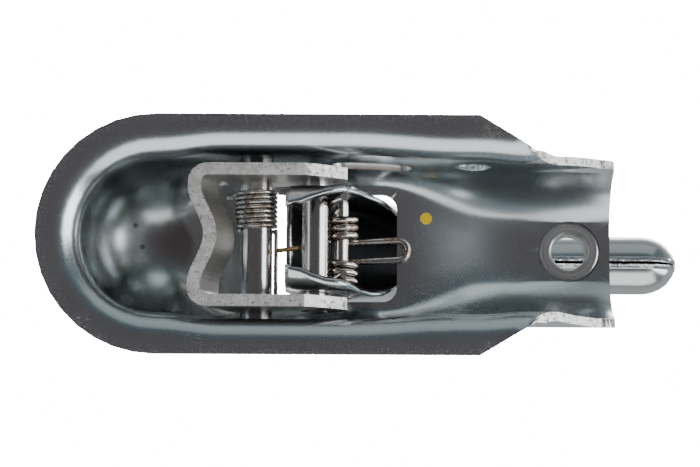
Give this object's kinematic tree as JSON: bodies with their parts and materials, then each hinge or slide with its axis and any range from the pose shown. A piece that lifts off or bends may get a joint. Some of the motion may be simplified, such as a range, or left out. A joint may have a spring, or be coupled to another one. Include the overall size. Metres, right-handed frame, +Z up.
{
  "type": "trailer coupling head",
  "caption": "Pressed steel ball coupling head with a sprung jaw and a lift lever, for a round drawbar tube.",
  "frame": {"origin": "centre of the tow ball when it is coupled", "axes": "+X towards the drawbar tube, +Z up, away from the ball's neck"},
  "size_m": [0.2207, 0.0794, 0.0985],
  "materials": {
    "plated_sheet": "bright zinc plating",
    "plated_bush": "turned and zinc plated",
    "plated_pin": "turned and zinc plated",
    "plated_jaw": "zinc plated with scuffed edges",
    "spring_wire": "drawn wire with rust stains",
    "brass_wire": "tarnished",
    "plated_lever": "zinc plated with rust at the rim",
    "weld_steel": "ground weld",
    "rusty_wire": "drawn wire with brown rust"
  },
  "bodies": {
    "housing": {"body": "plated_sheet", "threaded_bush": "plated_bush", "pivot_pin": "plated_pin"},
    "jaw": {"jaw": "plated_jaw", "jaw_spring": "spring_wire", "hinge_pin": "plated_pin", "pin_clip": "brass_wire"},
    "lever": {"lever": "plated_lever", "lever_weld": "weld_steel", "spring_pin": "plated_pin", "lever_spring": "rusty_wire"}
  },
  "joints": [
    {"name": "jaw_swing", "type": "hinge", "parent": "housing", "child": "jaw", "pos_m": [0.0324, 0, 0.0085], "axis": [0, -1, 0], "range_deg": [0, 24]},
    {"name": "lever_lift", "type": "hinge", "parent": "jaw", "child": "lever", "pos_m": [0.0522, 0, 0.004], "axis": [0, -1, 0], "range_deg": [0, 12], "stiffness_Nm_per_rad": 0.8, "springref_deg": -20.05, "deforming": ["lever_spring"]}
  ],
  "couplings": [
    {"joint": "jaw_swing", "follows": "lever_lift", "ratio": 2}
  ]
}
